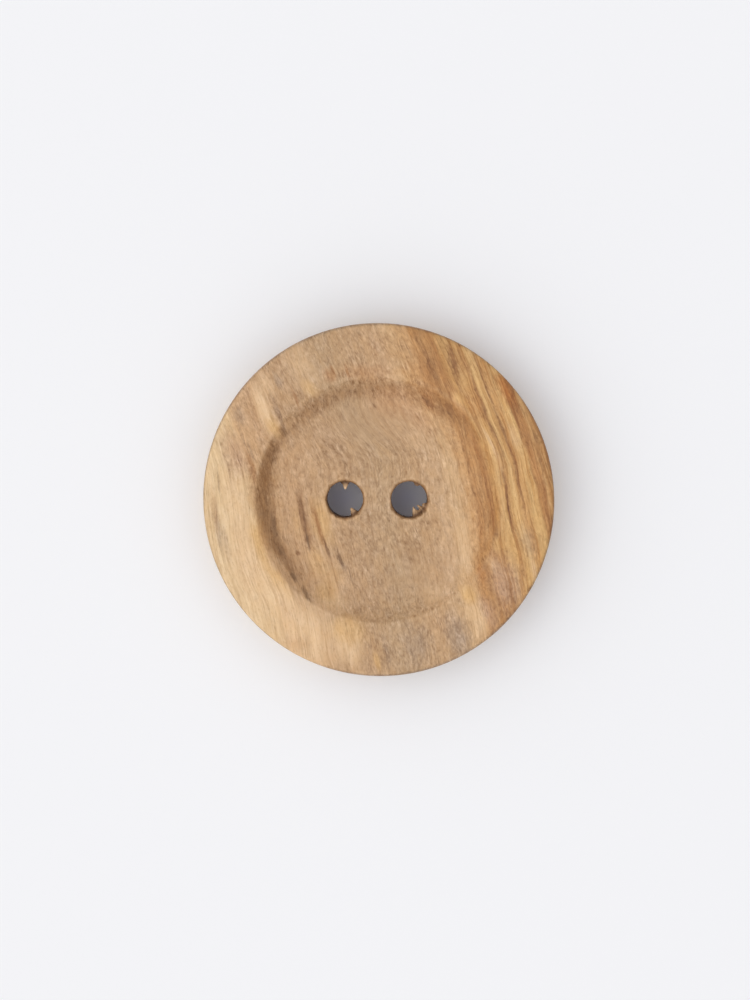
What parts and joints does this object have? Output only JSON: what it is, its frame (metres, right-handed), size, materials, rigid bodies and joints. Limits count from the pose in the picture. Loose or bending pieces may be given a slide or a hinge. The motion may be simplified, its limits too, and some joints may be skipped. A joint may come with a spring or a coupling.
{
  "type": "two-hole wooden button",
  "caption": "Round turned wooden sewing button with a crowned rim, a shallow coved well, thread holes drilled through its floor and a flat back with a rounded edge.",
  "frame": {"origin": "middle of the flat back, on the turning axis, where the button rests", "axes": "+Z along the turning axis, out of the dished face; X through the centres of the two thread holes"},
  "size_m": [0.025, 0.025, 0.0045],
  "materials": {
    "wood": "sanded and lightly waxed streaked hardwood, satin to matte"
  },
  "bodies": {
    "root": {"button": "wood"}
  },
  "joints": []
}
